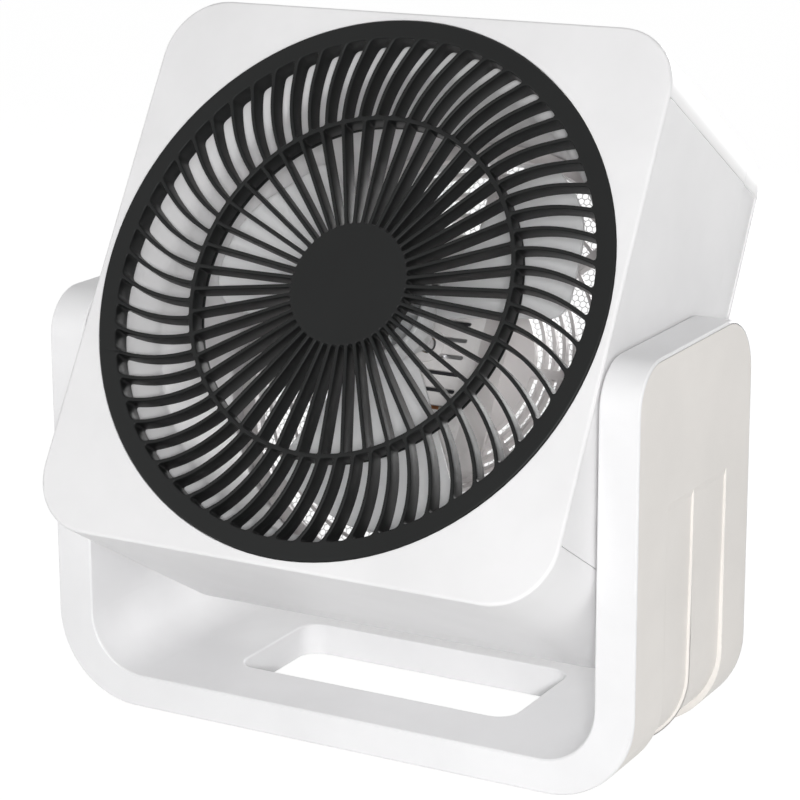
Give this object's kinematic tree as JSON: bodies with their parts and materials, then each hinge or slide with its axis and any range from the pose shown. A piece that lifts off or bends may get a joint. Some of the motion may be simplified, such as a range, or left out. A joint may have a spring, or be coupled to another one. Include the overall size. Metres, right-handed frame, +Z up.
{
  "type": "air circulator fan",
  "caption": "Air circulator fan: a square head with a round swirl grille tilts in a U-shaped stand that has a carrying slot through its base.",
  "frame": {"origin": "centre of the bounding box's bottom, on the surface that the rubber feet stand on", "axes": "+X to the viewer's right when facing the grille, +Y from the front to the back, +Z up; the head leans back 30.75 degrees at rest"},
  "size_m": [0.33, 0.2638, 0.3586],
  "materials": {
    "white_gloss": "satin white moulding",
    "stand_white": "satin white moulding",
    "cover_grey": "fine matt, warm light grey",
    "grille_black": "satin charcoal",
    "fan_white": "satin, cool white",
    "pod_white": "satin, warm white",
    "guard_white": "satin, warm white",
    "control_grey": "fine matt",
    "black_plastic": "fine matt",
    "steel": "bright zinc",
    "nylon": "natural, waxy",
    "rubber": "matt",
    "lamination": "dark varnish",
    "copper": "enamelled wire",
    "bobbin": "matt",
    "alloy": "as cast",
    "bronze": "sintered"
  },
  "bodies": {
    "stand": {"stand_frame": "stand_white", "stand_cover": "cover_grey", "rubber_feet": "rubber", "base_screws": "steel", "pivot_pin_right": "steel", "pivot_pin_left": "steel", "friction_washers": "nylon", "retaining_rings": "steel"},
    "head": {"bearing_bridge_front": "alloy", "bearing_bridge_rear": "alloy", "coil_bobbin": "bobbin", "front_grille": "grille_black", "front_housing": "white_gloss", "guard_screws": "steel", "motor_bearings": "bronze", "motor_coil": "copper", "motor_core": "lamination", "motor_housing": "pod_white", "motor_screws": "steel", "pivot_bushes": "nylon", "power_inlet": "black_plastic", "rear_cover": "white_gloss", "rear_guard": "guard_white", "rear_screws": "steel", "rotary_switch": "black_plastic", "side_panel_left": "white_gloss", "side_panel_right": "white_gloss"},
    "impeller": {"impeller": "fan_white", "impeller_nut": "black_plastic", "fan_shaft": "steel", "rotor": "lamination"},
    "speed_knob": {"speed_knob": "control_grey"}
  },
  "joints": [
    {"name": "head_tilt", "type": "hinge", "parent": "stand", "child": "head", "pos_m": [0, 0.00965, 0.19499], "axis": [-1, 0, 0], "range_deg": [-30.75, 59.25]},
    {"name": "impeller_spin", "type": "hinge", "parent": "head", "child": "impeller", "pos_m": [0, 0.00965, 0.19499], "axis": [0, -0.8594, 0.5113], "continuous": true},
    {"name": "speed_select", "type": "hinge", "parent": "head", "child": "speed_knob", "pos_m": [0.11, 0.00396, 0.07003], "axis": [0, -0.8594, 0.5113], "range_deg": [0, 120]}
  ]
}
